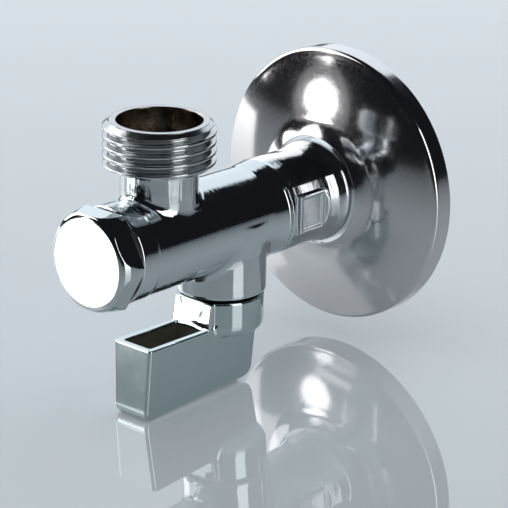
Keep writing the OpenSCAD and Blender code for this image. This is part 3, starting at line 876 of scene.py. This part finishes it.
def softbox(name, location, width, height, radiance, lights, shape="RECTANGLE", tint=(1.0, 1.0, 1.0)):
    """Area light that faces the valve; lights says if it shows in gloss or in diffuse light."""
    data = bpy.data.lights.new(name, "AREA")
    data.shape = shape
    data.color = tint
    data.size = width
    data.size_y = height
    area = width * height * (math.pi / 4 if shape == "ELLIPSE" else 1.0)
    data.energy = radiance * math.pi * area
    obj = bpy.data.objects.new(name, data)
    obj.location = location
    obj.rotation_euler = (Vector(location) - CENTRE).to_track_quat("Z", "Y").to_euler()
    obj.visible_camera = False
    obj.visible_diffuse = lights == "diffuse"
    obj.visible_glossy = lights == "gloss"
    bpy.context.collection.objects.link(obj)
    return obj


def make_floor():
    """Glossy pale sheet just under the lever's foot and the escutcheon's edge, with painted shade that
    darkens its colour towards the front.
    """
    slope = (FLOOR_AT_FOOT - FLOOR_AT_WALL) / (HANDLE_FRONT * MM)
    ends = (-FLOOR_HALF_SIZE, FLOOR_HALF_SIZE)
    sheet_corners = ((ends[0], ends[0]), (ends[1], ends[0]), (ends[1], ends[1]), (ends[0], ends[1]))
    verts = [(x, y, FLOOR_AT_WALL + slope * y) for x, y in sheet_corners]
    mesh = bpy.data.meshes.new("floor")
    mesh.from_pydata(verts, [], [(0, 1, 2, 3)])
    obj = bpy.data.objects.new("floor", mesh)
    bpy.context.collection.objects.link(obj)
    mat, tree, shader = new_material("pale_glossy_floor", (0.54, 0.61, 0.65), 0.0, 0.02)
    # Painted shade: the base colour grades from darker in front to paler behind, standing in for light
    # that falls off towards the camera.
    depth = tree.nodes.new("ShaderNodeVectorMath")
    depth.operation = "DOT_PRODUCT"
    depth.inputs[1].default_value = (-0.68, 0.73, 0.0)
    tree.links.new(object_place(tree), depth.inputs[0])
    painted_falloff = ranged(tree, depth.outputs["Value"], 0.0, 1.0, -0.13, 0.38)
    tone = blended_color(tree, painted_falloff, (0.47, 0.53, 0.56), (0.75, 0.81, 0.87))
    tree.links.new(tone, shader.inputs["Base Color"])
    shader.inputs["IOR"].default_value = 1.8
    mesh.materials.append(mat)


def make_world():
    """Pale room to the eye; nearly black in reflections, like a studio's dark walls."""
    world = bpy.data.worlds.new("studio")
    world.use_nodes = True
    tree = world.node_tree
    dark = tree.nodes["Background"]
    dark.inputs["Color"].default_value = (0.010, 0.011, 0.013, 1.0)
    pale = tree.nodes.new("ShaderNodeBackground")
    pale.inputs["Color"].default_value = (0.66, 0.71, 0.76, 1.0)
    path = tree.nodes.new("ShaderNodeLightPath")
    mix = tree.nodes.new("ShaderNodeMixShader")
    tree.links.new(path.outputs["Is Camera Ray"], mix.inputs["Fac"])
    tree.links.new(dark.outputs["Background"], mix.inputs[1])
    tree.links.new(pale.outputs["Background"], mix.inputs[2])
    tree.links.new(mix.outputs["Shader"], tree.nodes["World Output"].inputs["Surface"])
    bpy.context.scene.world = world


def make_panels():
    """Large panels round the valve that show in the chrome."""
    back = CENTRE + direction(135, 26) * 1.4
    left = CENTRE + direction(186, 18) * 1.4
    high_left = CENTRE + direction(204, 35.5) * 1.3
    right = CENTRE + direction(-3, 20) * 1.2
    softbox("back_panel", back, 2.35, 1.1, 1.2, "gloss", tint=(0.93, 1.0, 1.07))
    softbox("left_panel", left, 0.75, 0.8, 3.0, "gloss")
    softbox("high_panel", high_left, 1.15, 0.84, 2.2, "gloss")
    softbox("strip_lamp", right, 0.55, 1.0, 2.9, "gloss")


def make_lamp():
    """Round lamp with a faint glow about it, seen in the escutcheon's dome."""
    lamp = Vector((0, -0.0066, 0.0193)) + direction(230, 4.1) * 1.2
    softbox("round_lamp", lamp, 0.25, 0.25, 7.0, "gloss", "ELLIPSE")
    softbox("lamp_glow", lamp * 1.05, 0.52, 0.52, 0.22, "gloss", "ELLIPSE")


def make_cards():
    """Small white cards close to the floor, seen in the plug's face and in the hub's front."""
    softbox("cap_card", Vector((-0.024, -0.096, -0.014)), 0.026, 0.019, 2.1, "gloss")
    softbox("block_card", Vector((-0.096, -0.157, -0.0295)), 0.06, 0.0095, 2.3, "gloss")


def make_floor_light():
    """Light from above for the floor: most of it without shadows, the rest with soft ones."""
    above = Vector((0, 0, 1.5))
    even = softbox("even_light", above, 2.4, 2.4, 1.8, "diffuse")
    even.data.use_shadow = False
    softbox("overhead", above, 2.4, 2.4, 0.45, "diffuse")


def make_camera():
    """Long lens above the front right of the valve, rolled slightly."""
    azimuth, elevation = math.radians(CAMERA_AZIMUTH), math.radians(CAMERA_ELEVATION)
    roll = math.radians(CAMERA_ROLL)
    data = bpy.data.cameras.new("camera")
    data.lens = CAMERA_LENS
    data.clip_start = 0.05
    obj = bpy.data.objects.new("camera", data)
    right = Vector((math.cos(azimuth), math.sin(azimuth), 0))
    ahead = Vector((-math.sin(azimuth), math.cos(azimuth), 0)) * math.cos(elevation)
    forward = ahead - Vector((0, 0, math.sin(elevation)))
    up = right.cross(forward)
    rolled_right = math.cos(roll) * right + math.sin(roll) * up
    rolled_up = -math.sin(roll) * right + math.cos(roll) * up
    rotation = Matrix((rolled_right, rolled_up, -forward)).transposed()
    obj.matrix_world = Matrix.Translation(CAMERA_PLACE) @ rotation.to_4x4()
    bpy.context.collection.objects.link(obj)
    bpy.context.scene.camera = obj


make_camera()
make_floor()
make_world()
make_panels()
make_lamp()
make_cards()
make_floor_light()
make_body()
make_outlet()
make_inlet()
make_escutcheon()
make_lever()
make_plug()
make_gasket()
finish_cad_nodes()
bpy.context.scene.view_settings.view_transform = "Standard"
